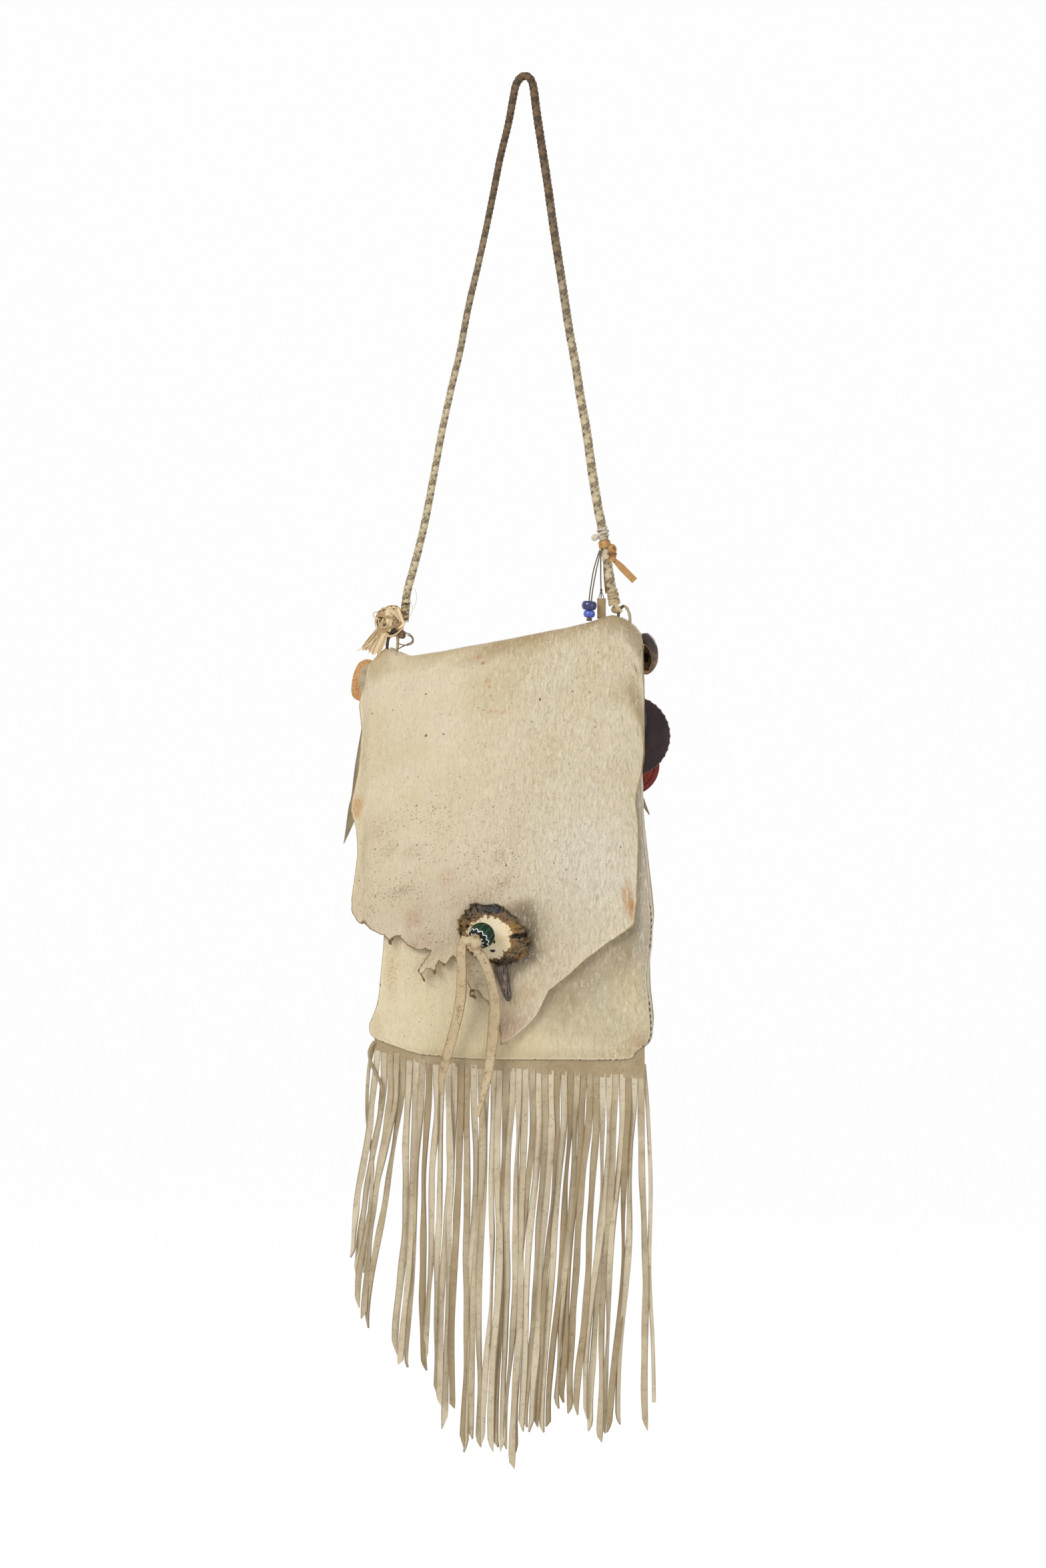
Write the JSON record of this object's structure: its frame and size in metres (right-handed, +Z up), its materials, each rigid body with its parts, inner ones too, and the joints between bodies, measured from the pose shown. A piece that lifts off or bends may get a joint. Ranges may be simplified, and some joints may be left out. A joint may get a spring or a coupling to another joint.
{
  "type": "possibles bag",
  "caption": "Soft hide bag with a fringed bottom seam, a lid closed by an antler rosette and a glass bead, corner charms and a braided strap to hang it from.",
  "frame": {"origin": "the point that the strap hangs from, at the inside of its top bend", "axes": "+Z up along the hanging bag, -Y out of the bag's front, +X to the right as seen from the front"},
  "size_m": [0.2461, 0.073, 1.0553],
  "materials": {
    "buckskin": "soft cream buckskin, matte, fine pebbled grain",
    "grey_suede": "grey-cream suede, matte",
    "fringe_suede": "tan-grey suede, matte",
    "braid": "braided leather, brown fading to tan",
    "straw": "twisted straw-coloured fibre",
    "dark_thong": "dark brown thong",
    "ochre": "ochre leather lace",
    "string": "pale grey string",
    "thread": "dark waxed thread",
    "cobalt_glass": "opaque glossy dark blue glass",
    "sky_glass": "opaque glossy light blue glass",
    "purple_glass": "opaque dark red-brown glass",
    "tan_hide": "tan leather strip",
    "antler": "antler burr, cream core with a rough brown-grey rim",
    "green_glass": "opaque dark green glass with white zigzags",
    "horn": "polished dark horn",
    "purple_hide": "purple-brown stamped leather",
    "teal_enamel": "teal-black glazed face",
    "red_hide": "red tooled leather",
    "nutshell": "dark purple-brown dried nut skin",
    "grey_tan_hide": "grey-tan buckskin",
    "slice_wood": "pale end grain with an orange-tan rim"
  },
  "bodies": {
    "strap": {"braided_strap": "braid", "left_whipping": "dark_thong", "right_wrap": "braid", "straw_binding": "straw", "dark_knot": "dark_thong", "waxed_thread": "thread", "ochre_tie": "ochre", "string_knot": "string", "left_tie_loop": "dark_thong", "right_tie_loop": "dark_thong"},
    "bead_string": {"bead_cord": "string", "dark_blue_bead": "cobalt_glass", "light_blue_bead": "sky_glass", "tube_bead": "purple_glass"},
    "strip": {"strip_cord": "string", "tan_strip": "tan_hide"},
    "bag": {"front_panel": "buckskin", "back_panel": "buckskin", "gusset": "grey_suede", "fringe": "fringe_suede"},
    "lid": {"lid": "buckskin", "antler_rosette": "antler", "chevron_bead": "green_glass", "closure_knot": "buckskin", "left_thong_tail": "buckskin", "right_thong_tail": "buckskin", "horn_tip": "horn"},
    "right_charms": {"domed_button": "teal_enamel", "purple_disc": "purple_hide", "red_disc": "red_hide", "nut_hull": "nutshell", "right_charm_thong": "grey_tan_hide"},
    "left_charms": {"wood_slice": "slice_wood", "left_charm_thong": "grey_tan_hide"}
  },
  "joints": [
    {"name": "bag_swing", "type": "hinge", "parent": "strap", "child": "bag", "pos_m": [-0.099, 0, -0.4295], "axis": [0.9937, 0, 0.1117], "range_deg": [-25, 25]},
    {"name": "lid_hinge", "type": "hinge", "parent": "bag", "child": "lid", "pos_m": [0, -0.00693, -0.41911], "axis": [-0.9821, 0, -0.1883], "range_deg": [0, 110]},
    {"name": "bead_swing", "type": "hinge", "parent": "strap", "child": "bead_string", "pos_m": [0.056, -0.0012, -0.3522], "axis": [1, 0, 0], "range_deg": [0, 60]},
    {"name": "strip_swing", "type": "hinge", "parent": "strap", "child": "strip", "pos_m": [0.057, 0.0024, -0.3522], "axis": [1, 0, 0], "range_deg": [0, 60]},
    {"name": "right_charm_swing", "type": "hinge", "parent": "bag", "child": "right_charms", "pos_m": [0.079, 0.0083, -0.411], "axis": [1, 0, 0], "range_deg": [0, 60]},
    {"name": "left_charm_swing", "type": "hinge", "parent": "bag", "child": "left_charms", "pos_m": [-0.1075, 0.0083, -0.432], "axis": [1, 0, 0], "range_deg": [0, 60]}
  ]
}
